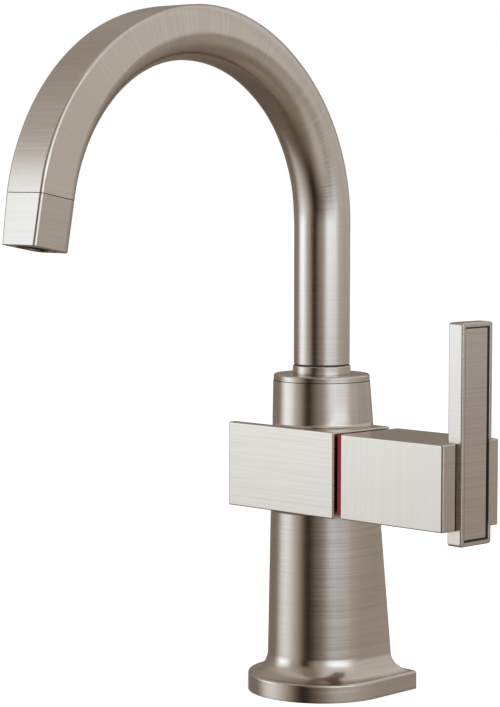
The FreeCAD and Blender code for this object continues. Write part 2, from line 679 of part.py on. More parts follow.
def handle_hub():
    hub = valve_bar(HUB_LEFT, HUB_RIGHT, HUB_HALF, HUB_HALF)
    hub = hub.makeFillet(HUB_CORNER, [edge for edge in hub.Edges if is_hub_corner(edge)])
    hub = hub.makeFillet(HUB_EDGE, [edge for edge in hub.Edges if not is_hub_corner(edge)])
    pocket = valve_bar(HUB_LEFT, POCKET_END, POCKET_HALF, POCKET_HALF)
    hub = hub.cut(pocket).cut(blade_slot()).cut(set_screw_hole(VALVE_Z - HUB_HALF, VALVE_Z - POCKET_HALF))
    for point in blade_screw_points():
        hub = hub.cut(blade_screw_hole(point))
    return hub


def is_hub_corner(edge):
    """Upright edges at the blade's end of the hub."""
    return runs_along(edge, ALONG_Z) and edge.BoundBox.XMin > HUB_LEFT + PICK_TOLERANCE


def blade_slot():
    """Room for the blade in the hub's end, with a rounded mouth."""
    half = BLADE_WIDTH / 2 + SEAT_GAP
    wide = half + SLOT_EDGE
    inner = HUB_RIGHT - SLOT_EDGE
    bulge = SLOT_EDGE * math.sqrt(0.5)

    def place(x, across):
        return V(x, VALVE_Y + across, VALVE_Z - HUB_HALF)

    outline = Part.Wire([
        line_edge(place(BLADE_LEFT, half), place(BLADE_LEFT, -half)),
        line_edge(place(BLADE_LEFT, -half), place(inner, -half)),
        arc_edge(place(inner, -half), place(inner + bulge, bulge - wide), place(HUB_RIGHT, -wide)),
        line_edge(place(HUB_RIGHT, -wide), place(HUB_RIGHT, wide)),
        arc_edge(place(HUB_RIGHT, wide), place(inner + bulge, wide - bulge), place(inner, half)),
        line_edge(place(inner, half), place(BLADE_LEFT, half)),
    ])
    return Part.Face(outline).extrude(V(0, 0, HUB_SIDE))


def hot_indicator():
    half = HUB_HALF - INDICATOR_INSET
    spigot = POCKET_HALF - SEAT_GAP
    plate = box(INDICATOR_LEFT, HUB_LEFT, VALVE_Y - half, VALVE_Y + half,
                VALVE_Z - HUB_HALF + INDICATOR_RAISE, VALVE_Z + half)
    plate = plate.fuse(valve_bar(HUB_LEFT, CORE_START, spigot, spigot)).removeSplitter()
    return plate.cut(cylinder(STEM_HOLE, valve_point(INDICATOR_LEFT), CORE_START - INDICATOR_LEFT, ALONG_X))


def set_screw():
    top = VALVE_Z - STEM_FLAT
    start = V(SET_SCREW_X, VALVE_Y, top - SET_SCREW_LENGTH)
    screw = cylinder(SET_SCREW_RADIUS, start, SET_SCREW_LENGTH, ALONG_Z)
    return screw.cut(along(hexagon(SET_SCREW_KEY, SET_SCREW_KEY_DEPTH), start, ALONG_Z))


def set_screw_plug():
    start = V(SET_SCREW_X, VALVE_Y, VALVE_Z - HUB_HALF)
    return cylinder(SET_SCREW_RADIUS, start, PLUG_THICKNESS, ALONG_Z)


def blade_screw_points():
    start = POCKET_END - BLADE_SCREW_HEAD
    return [valve_point(start, side * BLADE_SCREW_SPACING / 2) for side in (-1, 1)]


def blade_screw_length():
    return BLADE_LEFT - POCKET_END + BLADE_SCREW_REACH


def blade_screw_hole(point):
    length = BLADE_SCREW_HEAD + blade_screw_length() + SEAT_GAP
    return cylinder(BLADE_SCREW_RADIUS + SEAT_GAP, point, length, ALONG_X)


def blade_panel(x0, x1, margin):
    half = BLADE_WIDTH / 2 - margin
    return box(x0, x1, VALVE_Y - half, VALVE_Y + half, BLADE_BOTTOM + margin, BLADE_TOP - margin)


def handle_blade():
    blade = blade_panel(BLADE_LEFT, BLADE_RIGHT, 0)
    blade = blade.makeFillet(BLADE_CORNER, [edge for edge in blade.Edges if runs_along(edge, ALONG_X)])
    blade = blade.makeFillet(BLADE_EDGE, [edge for edge in blade.Edges if not runs_along(edge, ALONG_X)])
    blade = blade.cut(blade_panel(TRAY_FLOOR, BLADE_RIGHT, BLADE_RIM))
    for point in blade_screw_points():
        blade = blade.cut(blade_screw_hole(point))
    return blade


def inlay_pad():
    pad = blade_panel(TRAY_FLOOR, BLADE_RIGHT - PAD_LIP_SHY, BLADE_RIM + SEAT_GAP)
    return pad.cut(blade_panel(PAD_FACE, BLADE_RIGHT, PAD_INSIDE))


def blade_inlay():
    inlay = blade_panel(PAD_FACE, BLADE_RIGHT - INLAY_SHY, PAD_INSIDE + INLAY_GAP)
    face = [edge for edge in inlay.Edges if edge.BoundBox.XMin > PAD_FACE + INLAY_EDGE]
    return inlay.makeFillet(INLAY_EDGE, face)


def blade_screws():
    screw = cap_screw(BLADE_SCREW_RADIUS, blade_screw_length(), BLADE_SCREW_HEAD_RADIUS,
                      BLADE_SCREW_HEAD, BLADE_SCREW_KEY)
    return Part.makeCompound([along(screw, p, ALONG_X) for p in blade_screw_points()])


def edges_at(shape, radius, z):
    """The round edge of a turned piece at a radius and a height."""
    found = []
    for edge in shape.Edges:
        at_height = abs(edge.BoundBox.ZMin - z) < PICK_TOLERANCE
        if is_level(edge) and at_height and abs(edge.BoundBox.XMax - radius) < PICK_TOLERANCE:
            found.append(edge)
    return found


def swivel_collar():
    flange = cylinder(COLLAR_RADIUS, V(0, 0, COLUMN_TOP), COLLAR_THICKNESS, ALONG_Z)
    flange = flange.makeFillet(COLLAR_EDGE, edges_at(flange, COLLAR_RADIUS, COLLAR_TOP))
    flange = flange.makeChamfer(INNER_EDGE, edges_at(flange, COLLAR_RADIUS, COLUMN_TOP))
    neck = cylinder(NECK_RADIUS, V(0, 0, COLLAR_TOP), NECK_HEIGHT, ALONG_Z)
    neck = neck.makeFillet(NECK_EDGE, edges_at(neck, NECK_RADIUS, NECK_TOP))
    spigot = cylinder(SPIGOT_RADIUS - SEAT_GAP, V(0, 0, SPIGOT_BOTTOM), SPIGOT_LENGTH, ALONG_Z)
    collar = flange.fuse(neck).fuse(spigot).removeSplitter()
    bore = cylinder(SHANK_RADIUS + RUNNING_FIT, V(0, 0, SPIGOT_BOTTOM), NECK_TOP - SPIGOT_BOTTOM, ALONG_Z)
    return collar.cut(bore)


def glide_ring():
    return pipe(GLIDE_RADIUS, SHANK_RADIUS + TURNING_GAP, V(0, 0, NECK_TOP),
                GLIDE_THICKNESS - FACE_GAP, ALONG_Z)


def shank_ring_centres():
    third = (SOCKET_TOP - SHANK_BOTTOM) / 3
    return [V(0, 0, SHANK_BOTTOM + third), V(0, 0, SHANK_BOTTOM + 2 * third)]


def spout_shank():
    journal = cylinder(SHANK_RADIUS, V(0, 0, SHANK_BOTTOM), LEG_BOTTOM - SHANK_BOTTOM, ALONG_Z)
    journal = journal.makeChamfer(INNER_EDGE, edges_at(journal, SHANK_RADIUS, SHANK_BOTTOM))
    head = cylinder(TUBE_BORE - SEAT_GAP, V(0, 0, LEG_BOTTOM), SHANK_RISE, ALONG_Z)
    shank = journal.fuse(head).removeSplitter()
    shank = shank.cut(cylinder(SHANK_BORE, V(0, 0, SHANK_BOTTOM), SHANK_TOP - SHANK_BOTTOM, ALONG_Z))
    shank = shank.cut(cylinder(LINER_RADIUS + SEAT_GAP, V(0, 0, LINER_LOW), LINER_SEAT, ALONG_Z))
    for centre in shank_ring_centres():
        shank = shank.cut(ring_groove(SHANK_RADIUS, SHANK_RING, centre, ALONG_Z))
    return shank.cut(clip_groove(SHANK_RADIUS, V(0, 0, SHANK_CLIP_START), ALONG_Z))


def shank_o_rings():
    return Part.makeCompound([o_ring(SHANK_RADIUS, SHANK_RING, c, ALONG_Z) for c in shank_ring_centres()])


def shank_clip():
    return spring_clip(SHANK_RADIUS, V(0, 0, SHANK_CLIP_START), ALONG_Z)


def arc_outward(degrees):
    """Direction from the arc's centre to its middle line."""
    angle = math.radians(degrees)
    return V(0, math.cos(angle), math.sin(angle))


def arc_forward(degrees):
    """Direction in which the water runs."""
    angle = math.radians(degrees)
    return V(0, -math.sin(angle), math.cos(angle))


def arc_point(degrees):
    return ARC_CENTRE + arc_outward(degrees) * ARC_RADIUS


def ease(value, start, end):
    share = min(max((value - start) / (end - start), 0), 1)
    return share * share * (3 - 2 * share)


def spout_section(degrees, inset):
    """Section of the spout: a circle at first, later a square with crisp outer corners."""
    origin = arc_point(degrees)
    out = arc_outward(degrees)
    if degrees <= MORPH_START:
        return round_section(origin, out, TUBE_RADIUS - inset)
    squared = ease(degrees, SQUARE_START, SQUARE_END)
    flattened = ease(degrees, MORPH_START, FACE_END)
    creased = ease(degrees, MORPH_START, CREASE_END)
    half_width = TUBE_RADIUS + (SEAM_HALF_WIDTH - TUBE_RADIUS) * squared - inset
    outer = TUBE_RADIUS + (SEAM_OUTER - TUBE_RADIUS) * flattened - inset
    inner = TUBE_RADIUS + (SEAM_INNER - TUBE_RADIUS) * squared - inset
    outer_corner = TUBE_RADIUS + (OUTER_CORNER - TUBE_RADIUS) * creased - inset
    inner_corner = TUBE_RADIUS + (INNER_CORNER - TUBE_RADIUS) * squared - inset
    inner_corner = min(inner_corner, half_width * (1 - math.sin(math.radians(ROUND_SPAN / 2))))
    least = OUTER_CORNER / 2
    return square_section(origin, out, half_width, outer, inner,
                          max(outer_corner, least), max(inner_corner, least))


def round_section(origin, out, radius):
    """Circle in eight arcs: four short ones in the middle of the sides, four long ones between."""
    turns = []
    for side in range(5):
        turns += [90 * side - ROUND_SPAN / 2, 90 * side + ROUND_SPAN / 2]

    def place(turn):
        angle = math.radians(turn)
        return origin + ALONG_X * (radius * math.cos(angle)) + out * (radius * math.sin(angle))

    edges = []
    for first, last in zip(turns[:9], turns[1:9]):
        edges.append(arc_edge(place(first), place((first + last) / 2), place(last)))
    return Part.Wire(edges)


def square_section(origin, out, half_width, outer, inner, outer_corner, inner_corner):
    """Rounded square in eight edges, starting on the middle of its +X side."""
    def place(across, outward):
        return origin + ALONG_X * across + out * outward

    keep = math.sqrt(0.5)
    corners = [
        (half_width - outer_corner, outer - outer_corner, outer_corner, 0),
        (outer_corner - half_width, outer - outer_corner, outer_corner, 90),
        (inner_corner - half_width, inner_corner - inner, inner_corner, 180),
        (half_width - inner_corner, inner_corner - inner, inner_corner, 270),
    ]
    arcs = []
    for across, outward, radius, turn in corners:
        first, middle, last = [math.radians(turn + step) for step in (0, 45, 90)]
        arcs.append([place(across + radius * math.cos(a), outward + radius * math.sin(a))
                     for a in (first, middle, last)])
    edges = []
    for before, after in zip([arcs[3]] + arcs[:3], arcs):
        edges.append(line_edge(before[2], after[0]))
        edges.append(arc_edge(*after))
    return Part.Wire(edges)


def spout_form(inset):
    """The spout from its foot to the seam, drawn in by the inset."""
    turns = [ARC_SWEEP * i / SECTION_STEPS for i in range(SECTION_STEPS + 1)]
    sections = [spout_section(turn, inset) for turn in turns]
    leg = Part.Face(sections[0]).extrude(V(0, 0, LEG_BOTTOM - LEG_TOP))
    arc = Part.makeLoft(sections, True, False)
    run = Part.Face(sections[-1]).extrude(arc_forward(ARC_SWEEP) * END_RUN)
    return leg.fuse(arc).fuse(run)


def spout_tube():
    return spout_form(0).cut(spout_form(TUBE_WALL))


def tip_point(distance):
    """Point on the tip's middle line, measured from the seam."""
    return arc_point(ARC_SWEEP) + arc_forward(ARC_SWEEP) * (END_RUN + distance)


def tip_cylinder(radius, start, end):
    return cylinder(radius, tip_point(start), end - start, arc_forward(ARC_SWEEP))


def tip_section(distance, inset):
    """Section of the tip between the seam and the outlet, drawn in by the inset."""
    share = distance / TIP_LENGTH
    half_width = SEAM_HALF_WIDTH + (OUTLET_HALF_WIDTH - SEAM_HALF_WIDTH) * share
    outer = SEAM_OUTER + (OUTLET_OUTER - SEAM_OUTER) * share
    inner = SEAM_INNER + (OUTLET_INNER - SEAM_INNER) * share
    return square_section(tip_point(distance), arc_outward(ARC_SWEEP), half_width - inset,
                          outer - inset, inner - inset, OUTER_CORNER - inset, INNER_CORNER - inset)


def spout_tip():
    tip = Part.makeLoft([
        tip_section(0, TIP_EDGE),
        tip_section(TIP_EDGE, 0),
        tip_section(TIP_LENGTH - TIP_EDGE, 0),
        tip_section(TIP_LENGTH, TIP_EDGE),
    ], True, True)
    tip = tip.fuse(tip_cylinder(TIP_SPIGOT_RADIUS, -TIP_SPIGOT_LENGTH, AERATOR_START)).removeSplitter()
    tip = tip.cut(tip_cylinder(LINER_RADIUS + LINER_GAP, -TIP_SPIGOT_LENGTH, LINER_STOP))
    tip = tip.cut(tip_cylinder(LINER_RADIUS - LINER_WALL, LINER_STOP, AERATOR_START))
    return tip.cut(tip_cylinder(AERATOR_BORE, AERATOR_START, TIP_LENGTH))


def liner_solid(radius):
    """Solid bar along the spout's middle line, from the shank to the tip."""
    leg = cylinder(radius, V(0, 0, LINER_LOW), LEG_TOP - LINER_LOW, ALONG_Z)
    circle = Part.Wire(Part.Circle(V(0, 0, LEG_TOP), ALONG_Z, radius).toShape())
    arc = Part.Face(circle).revolve(ARC_CENTRE, ALONG_X, ARC_SWEEP)
    run = tip_cylinder(radius, -END_RUN, LINER_STOP)
    return leg.fuse(arc).fuse(run)


def spout_liner():
    return liner_solid(LINER_RADIUS).cut(liner_solid(LINER_RADIUS - LINER_WALL))


def aerator_levels():
    """Distances from the seam at which the aerator's four pieces start, and the last one's end."""
    screen = AERATOR_START + AERATOR_GASKET
    straightener = screen + SCREEN_THICKNESS
    end = TIP_LENGTH - AERATOR_SHY
    return AERATOR_START, screen, straightener, end - AERATOR_RING_LENGTH, end


def perforated(start, end, hole, pitch):
    """Disc across the tip's bore with a honeycomb of holes."""
    disc = cylinder(AERATOR_BORE - SEAT_GAP, V(), end - start, ALONG_Z)
    rows = int(STREAM_RADIUS / pitch) + 1
    holes = []
    for row in range(-rows, rows + 1):
        for column_number in range(-2 * rows, 2 * rows + 1):
            x = pitch * (column_number + row / 2)
            y = pitch * row * math.sqrt(0.75)
            if math.hypot(x, y) + hole < STREAM_RADIUS:
                holes.append(cylinder(hole, V(x, y, 0), end - start, ALONG_Z))
    return along(disc.cut(Part.makeCompound(holes)), tip_point(start), arc_forward(ARC_SWEEP))


def aerator_gasket():
    gasket, screen = aerator_levels()[:2]
    return tip_cylinder(AERATOR_BORE - SEAT_GAP, gasket, screen).cut(
        tip_cylinder(AERATOR_GASKET_INNER, gasket, screen))


def aerator_screen():
    screen, straightener = aerator_levels()[1:3]
    return perforated(screen, straightener, SCREEN_HOLE, SCREEN_PITCH)


def flow_straightener():
    straightener, ring = aerator_levels()[2:4]
    return perforated(straightener, ring, STRAIGHTENER_HOLE, STRAIGHTENER_PITCH)


def aerator_ring():
    ring, end = aerator_levels()[3:]
    return tip_cylinder(AERATOR_BORE - SEAT_GAP, ring, end).cut(tip_cylinder(STREAM_RADIUS, ring, end))


PIECES = [
    body_casting, base_insert, base_insert_screws, base_gasket, inlet_tube, inlet_tube_o_rings,
    seat_seal, fixed_disc, cartridge_sleeve, cartridge_o_ring, bonnet_nut, hub_washer,
    swivel_collar, glide_ring,
    valve_stem, rotating_disc, stem_o_rings, stem_clip, drive_bush, hub_core, handle_hub,
    hot_indicator, set_screw, set_screw_plug, handle_blade, inlay_pad, blade_inlay, blade_screws,
    spout_shank, shank_o_rings, shank_clip, spout_tube, spout_liner, spout_tip,
    aerator_gasket, aerator_screen, flow_straightener, aerator_ring,
]

os.makedirs("parts", exist_ok=True)
for piece in PIECES:
    shape = piece()
    print(piece.__name__, shape.ShapeType, len(shape.Solids), shape.isValid(), round(shape.Volume, 1))
    shape.exportStep("parts/" + piece.__name__ + ".step")
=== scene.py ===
# %% [markdown]
# # A hot water tap in brushed nickel
#
# This lesson dresses a finished CAD model of a kitchen tap. The model comes in as a fixed frame: every piece
# already has its real size and place, so nothing here is moved or resized. What is left to do is what Blender
# is good at: the camera, the studio light, and a finish for every surface.

# %% Load the tap
import json
import math

import bmesh
import bpy
from mathutils import Matrix, Vector

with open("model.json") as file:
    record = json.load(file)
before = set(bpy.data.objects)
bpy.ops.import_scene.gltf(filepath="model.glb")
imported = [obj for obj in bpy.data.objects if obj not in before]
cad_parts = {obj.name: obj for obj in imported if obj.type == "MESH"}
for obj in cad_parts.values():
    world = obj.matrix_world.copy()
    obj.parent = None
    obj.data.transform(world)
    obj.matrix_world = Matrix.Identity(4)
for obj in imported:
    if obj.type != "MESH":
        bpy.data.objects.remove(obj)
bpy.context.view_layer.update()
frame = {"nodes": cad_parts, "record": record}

# %% [markdown]
# ## The camera
#
# The camera stands in front of the tap and to the side of the handle, a little above the middle, and looks
# slightly down. A long lens from a metre away keeps the uprights nearly parallel. We could aim an empty with
# a Track To constraint, but here the three axes of the camera are worked out from its angles, because then
# a small turn of the aim and a small roll can be set as well.

# %% Camera
IMAGE_HEIGHT_PX = 707
FOCAL_PX = 2381
SENSOR_HEIGHT_MM = 36
CAMERA_AZIMUTH = math.radians(43.06)
CAMERA_DISTANCE = 1.019
CAMERA_HEIGHT = 0.2234
AIM_YAW = math.radians(1.73)
AIM_PITCH = math.radians(-4.385)
AIM_ROLL = math.radians(0.11)


def towards(azimuth):
    """Level direction at an angle from the front of the tap, turning to the handle's side."""
    return Vector((math.sin(azimuth), -math.cos(azimuth), 0))


camera_data = bpy.data.cameras.new("camera")
camera_data.sensor_fit = "VERTICAL"
camera_data.sensor_height = SENSOR_HEIGHT_MM
camera_data.lens = FOCAL_PX / IMAGE_HEIGHT_PX * SENSOR_HEIGHT_MM

level_aim = -towards(CAMERA_AZIMUTH + AIM_YAW)
forward = level_aim * math.cos(AIM_PITCH) + Vector((0, 0, math.sin(AIM_PITCH)))
level_right = forward.cross(Vector((0, 0, 1))).normalized()
level_up = level_right.cross(forward)
right = level_right * math.cos(AIM_ROLL) + level_up * math.sin(AIM_ROLL)
up = right.cross(forward)

camera = bpy.data.objects.new("camera", camera_data)
camera.matrix_world = Matrix.Translation(
    towards(CAMERA_AZIMUTH) * CAMERA_DISTANCE + Vector((0, 0, CAMERA_HEIGHT))
) @ Matrix((right, up, -forward)).transposed().to_4x4()
bpy.context.scene.collection.objects.link(camera)
bpy.context.scene.camera = camera
print("lens:", round(camera_data.lens, 1), "mm")

# %% [markdown]
# ## Small helpers for shader nodes
#
# Every finish below is a little network of nodes. Making nodes by hand takes many lines, so a few helpers
# keep the recipes short: one adds a node and fills its inputs by name, others do sums or choose between two
# numbers.

# %% Node helpers
def fill(socket, value):
    """Link a socket to another node's output, or set its own value."""
    if isinstance(value, bpy.types.NodeSocket):
        socket.id_data.links.new(value, socket)
    else:
        socket.default_value = value


def add(tree, kind, options=None, **inputs):
    """Add a shader node. Inputs are named as on the node, in small letters with underscores."""
    made = tree.nodes.new("ShaderNode" + kind)
    for option, value in (options or {}).items():
        setattr(made, option, value)
    for name, value in inputs.items():
        fill(next(s for s in made.inputs if s.enabled and s.name.lower().replace(" ", "_") == name), value)
    return made


def result(node):
    """The output that a node shows."""
    return next(socket for socket in node.outputs if socket.enabled)


def calculate(tree, operation, *values):
    """A Math node on up to three numbers."""
    made = add(tree, "Math", {"operation": operation})
    for socket, value in zip(made.inputs, values):
        fill(socket, value)
    return made.outputs[0]


def chosen(tree, share, no, yes):
    """One of two numbers, by a share that is 0 or 1, or something between them."""
    return result(add(tree, "Mix", {"data_type": "FLOAT"}, factor=share, a=no, b=yes))


def start_material(name):
    """A new material, its node tree and its Principled shader."""
    made = bpy.data.materials.new(name)
    made.use_nodes = True
    return made, made.node_tree, made.node_tree.nodes["Principled BSDF"]


print("helpers ready")

# %% [markdown]
# ## The background
#
# A product picture like this has a white sweep: floor and background melt into one white. The world is white
# for the camera and for reflections, and dimmer as a lamp, so it doesn't wash the tap out. A Light Path node
# tells the two kinds of ray apart.

# %% World
WORLD_AS_LAMP = 0.62


def seen_directly(tree):
    """1 for rays of the camera, of reflections and of clear materials, 0 for soft light."""
    rays = add(tree, "LightPath").outputs
    mirrored = calculate(tree, "MAXIMUM", rays["Is Glossy Ray"], rays["Is Transmission Ray"])
    return calculate(tree, "MAXIMUM", rays["Is Camera Ray"], mirrored)


world = bpy.data.worlds.new("white_studio")
world.use_nodes = True
bpy.context.scene.world = world
sky = world.node_tree
strength = calculate(sky, "MULTIPLY_ADD", seen_directly(sky), 1 - WORLD_AS_LAMP, WORLD_AS_LAMP)
fill(sky.nodes["Background"].inputs["Color"], (1, 1, 1, 1))
fill(sky.nodes["Background"].inputs["Strength"], strength)
print("world as a lamp:", WORLD_AS_LAMP)

# %% [markdown]
# ## The floor
#
# In a studio the floor is a sheet of paper that curves up behind the tap. A flat sheet is enough here, as
# the background is white anyway. It is pale and matt, and it also glows a little for the camera. Lit, the
# two add up to white, and where the tap keeps the light off, its soft shadow stays.

# %% Floor
FLOOR_HALF = 6.0
FLOOR_GLOW = 0.58
PAPER_DARK, PAPER_LIGHT = 0.80, 0.84


def add_piece(name, mesh_maker, material):
    """A new object whose mesh a function has filled with bmesh operators."""
    mesh = bpy.data.meshes.new(name)
    working = bmesh.new()
    mesh_maker(working)
    working.to_mesh(mesh)
    working.free()
    made = bpy.data.objects.new(name, mesh)
    made.data.materials.append(material)
    bpy.context.scene.collection.objects.link(made)
    return made


def floor_material():
    """Matt white paper that adds a steady glow for the camera and for reflections."""
    made, tree, shader = start_material("floor_paper")
    place = add(tree, "TexCoord").outputs["Object"]
    fibres = add(tree, "TexNoise", vector=place, scale=900.0, detail=3.0)
    tone = add(tree, "ValToRGB", fac=result(fibres))
    tone.color_ramp.elements[0].color = (PAPER_DARK, PAPER_DARK, PAPER_DARK, 1)
    tone.color_ramp.elements[1].color = (PAPER_LIGHT, PAPER_LIGHT, PAPER_LIGHT, 1)
    fill(shader.inputs["Base Color"], tone.outputs["Color"])
    fill(shader.inputs["Roughness"], 0.9)
    fill(shader.inputs["Specular IOR Level"], 0.0)
    fill(shader.inputs["Emission Color"], (1, 1, 1, 1))
    fill(shader.inputs["Emission Strength"], calculate(tree, "MULTIPLY", seen_directly(tree), FLOOR_GLOW))
    return made


floor = add_piece("floor", lambda bm: bmesh.ops.create_grid(bm, size=FLOOR_HALF), floor_material())
print("floor:", 2 * FLOOR_HALF, "m wide")

# %% [markdown]
# ## The studio lamps
#
# Two large soft lamps stand in front on the left and on the right. They light what is dull: the floor, the
# red plate and the black rings. An area lamp's brightness is its power over pi times its area, so the lamps
# are set by brightness. Metal would mirror them as hard white boards, so reflections don't see them, and the
# next step gives the metal something softer to mirror.

# %% Lamps
def soft_lamp(name, azimuth, distance, bottom, top, width, brightness):
    """An upright rectangular lamp at an angle round the tap, turned to face its axis."""
    data = bpy.data.lights.new(name, "AREA")
    data.shape = "RECTANGLE"
    data.size = width
    data.size_y = top - bottom
    data.energy = brightness * math.pi * data.size * data.size_y
    lamp = bpy.data.objects.new(name, data)
    outward = towards(math.radians(azimuth))
    lamp.location = outward * distance + Vector((0, 0, (bottom + top) / 2))
    lamp.rotation_euler = outward.to_track_quat("Z", "Y").to_euler()
    lamp.visible_glossy = False
    bpy.context.scene.collection.objects.link(lamp)
    print(name, "power:", round(data.energy, 2), "W")


soft_lamp("key_lamp", azimuth=-43, distance=1.2, bottom=0.02, top=0.62, width=0.94, brightness=2.25)
soft_lamp("side_lamp", azimuth=82, distance=1.2, bottom=0.02, top=1.1, width=1.0, brightness=2.7)

# %% [markdown]
# ## The light tent
#
# Brushed metal has little colour of its own: it shows the room. Photographers put a shiny tap in a tent of
# white cloth, with a lamp behind the cloth on either side and a dark opening in front, and that is what draws
# the soft bright bands and the dark line on the column. Cards with edges would show as hard stripes, so the
# tent is one large sphere that only reflections see. Its cloth is painted by direction: six bands of height,
# each with a few tones round the tap, and every step between them is eased. The tones are plain brightness.
# The tint comes afterwards, because cloth that is dim looks warm and cloth with a lamp behind it looks cool.

# %% Tent tones
FLOOR_BAND = [(-180, 0.25), (-105, 0.15), (-45, 0.18), (0, 0.13), (75, 0.29), (130, 0.28), (180, 0.24)]
PAPER_BAND = [(-180, 0.28), (-110, 0.13), (-80, 0.20), (-46, 0.85), (16, 0.02), (80, 0.78), (118, 0.50),
              (180, 0.28)]
LOW_BAND = [(-180, 0.30), (-100, 0.24), (-78, 0.28), (-42, 1.27), (18, 0.01), (80, 0.22), (120, 0.45),
            (180, 0.30)]
EYE_BAND = [(-180, 0.68), (-150, 0.24), (-120, 0.25), (-76, 0.36), (-46, 2.48), (-14, 0.52), (9, 0.01),
            (42, 0.60), (71, 2.38), (94, 2.02), (122, 0.84), (150, 0.70), (180, 0.68)]
BROW_BAND = [(-180, 0.68), (-150, 0.24), (-120, 0.25), (-76, 0.36), (-45, 1.92), (-14, 0.50), (9, 0.01),
             (42, 0.60), (72, 2.15), (94, 2.15), (122, 0.88), (150, 0.70), (180, 0.68)]
HIGH_BAND = [(-180, 0.88), (-135, 0.40), (-100, 0.42), (-45, 0.71), (18, 0.28), (72, 0.95), (110, 0.90),
             (150, 0.76), (180, 0.88)]
BAND_STEPS = [(PAPER_BAND, -46, -26), (LOW_BAND, -18, -12), (EYE_BAND, -5.6, -2), (BROW_BAND, 3, 9),
              (HIGH_BAND, 12.5, 29)]
HALF_COOL = 0.8          # the brightness at which the cloth is halfway from warm to cool
WARM_RED, WARM_BLUE = 1.27, 0.73
TINT_SWING = 0.61


def band_level(tree, turn, tones):
    """Brightness round the tap, from (angle, brightness) pairs in degrees, at a turn from 0 to 1."""
    ramp = add(tree, "ValToRGB", fac=turn)
    ramp.color_ramp.interpolation = "EASE"
    stops = ramp.color_ramp.elements
    while len(stops) < len(tones):
        stops.new(0.5)
    for stop, (degrees, level) in zip(stops, tones):
        stop.position = (degrees + 180) / 360
        stop.color = (level, level, level, 1)
    return ramp.outputs["Color"]


def cloth_colour(tree, level):
    """The colour of the tent at a brightness: warm where it is dim, cool where a lamp shines through."""
    cool = calculate(tree, "DIVIDE", level, calculate(tree, "ADD", level, HALF_COOL))
    red_share = calculate(tree, "MULTIPLY_ADD", cool, -TINT_SWING, WARM_RED)
    blue_share = calculate(tree, "MULTIPLY_ADD", cool, TINT_SWING, WARM_BLUE)
    red = calculate(tree, "MULTIPLY", level, red_share)
    blue = calculate(tree, "MULTIPLY", level, blue_share)
    return result(add(tree, "CombineColor", red=red, green=level, blue=blue))


print("tent bands:", 1 + len(BAND_STEPS))

# %% [markdown]
# ## Hanging the tent
#
# A sphere has one point for every direction, so it is the simplest shape to paint by direction. An
# icosphere has facets of even size, and no pole shows in a reflection. Its shader turns the place on the
# sphere into an angle round the tap and a height, and mixes the bands by the height. The tent is hidden
# from all rays but reflections, so it lights nothing and casts no shadow.

# %% Tent
TENT_RADIUS = 20.0


def tent_cloth():
    """Glowing cloth whose tone follows the direction from the tap."""
    made = bpy.data.materials.new("tent_cloth")
    made.use_nodes = True
    made.cycles.emission_sampling = "NONE"
    tree = made.node_tree
    tree.nodes.clear()
    x, y, z = add(tree, "SeparateXYZ", vector=add(tree, "TexCoord").outputs["Object"]).outputs
    angle = calculate(tree, "ARCTAN2", x, calculate(tree, "MULTIPLY", y, -1.0))
    turn = calculate(tree, "MULTIPLY_ADD", angle, 1 / math.tau, 0.5)
    height = calculate(tree, "ARCSINE", calculate(tree, "DIVIDE", z, TENT_RADIUS))
    level = band_level(tree, turn, FLOOR_BAND)
    for tones, bottom, top in BAND_STEPS:
        share = add(tree, "MapRange", {"interpolation_type": "SMOOTHSTEP"}, value=height,
                    from_min=math.radians(bottom), from_max=math.radians(top))
        level = chosen(tree, result(share), level, band_level(tree, turn, tones))
    glow = add(tree, "Emission", color=cloth_colour(tree, level))
    fill(add(tree, "OutputMaterial").inputs["Surface"], glow.outputs["Emission"])
    return made


def tent_shape(bm):
    """A fine sphere."""
    bmesh.ops.create_icosphere(bm, subdivisions=5, radius=TENT_RADIUS)


tent = add_piece("tent", tent_shape, tent_cloth())
for ray in ("camera", "diffuse", "shadow", "transmission", "volume_scatter"):
    setattr(tent, "visible_" + ray, False)
floor.visible_glossy = False
print("tent:", 2 * TENT_RADIUS, "m across")

# %% [markdown]
# ## Brushed nickel
#
# The tap's metal is brushed: a belt leaves thousands of fine strokes side by side. Light spreads widely
# across the strokes and hardly along them, so a lamp's reflection becomes a long streak. The Principled
# shader's Anisotropic value makes that streak, and its Tangent input says which way it runs. The strokes
# themselves are noise that is squeezed across and stretched along. A fourth coordinate, W, counts the
# distance across the strokes, so one recipe serves flat faces, the turned column and the bent spout. Corners
# are rubbed smoother by hands and cloths, which a Bevel node finds. In the narrow gaps between pieces an
# Ambient Occlusion node finds where shade falls, and a painted shade turns the colour there almost black.

# %% Strokes and edges
NICKEL = (0.56, 0.476, 0.401)
FINE_STROKE, FINE_LENGTH = 0.00025, 0.020
BROAD_STROKE, BROAD_LENGTH = 0.0006, 0.060
FINE_SHARE = 0.4         # of the strokes that are fine, the others being broad
EDGE_WIDTH = 0.0007
EDGE_NONE, EDGE_FULL = 0.995, 0.86
# Painted shade in the gaps: how far the Ambient Occlusion looks, how dark it paints the nickel, and where it
# starts and ends
PAINTED_SHADE_REACH, PAINTED_SHADE_TONE = 0.003, 0.08
PAINTED_SHADE_FULL, PAINTED_SHADE_NONE = 0.30, 0.62


def scaled(colour, factor):
    """A colour made lighter or darker, with its alpha."""
    return (*(channel * factor for channel in colour), 1)


def stroke_noise(tree, place, across, width, length):
    """Noise drawn out along the strokes."""
    stretched = add(tree, "VectorMath", {"operation": "SCALE"}, vector=place, scale=1 / length)
    step = calculate(tree, "MULTIPLY", across, 1 / width)
    noise = add(tree, "TexNoise", {"noise_dimensions": "4D"}, vector=result(stretched), w=step,
                scale=1.0, detail=2.0, roughness=0.6)
    return result(noise)


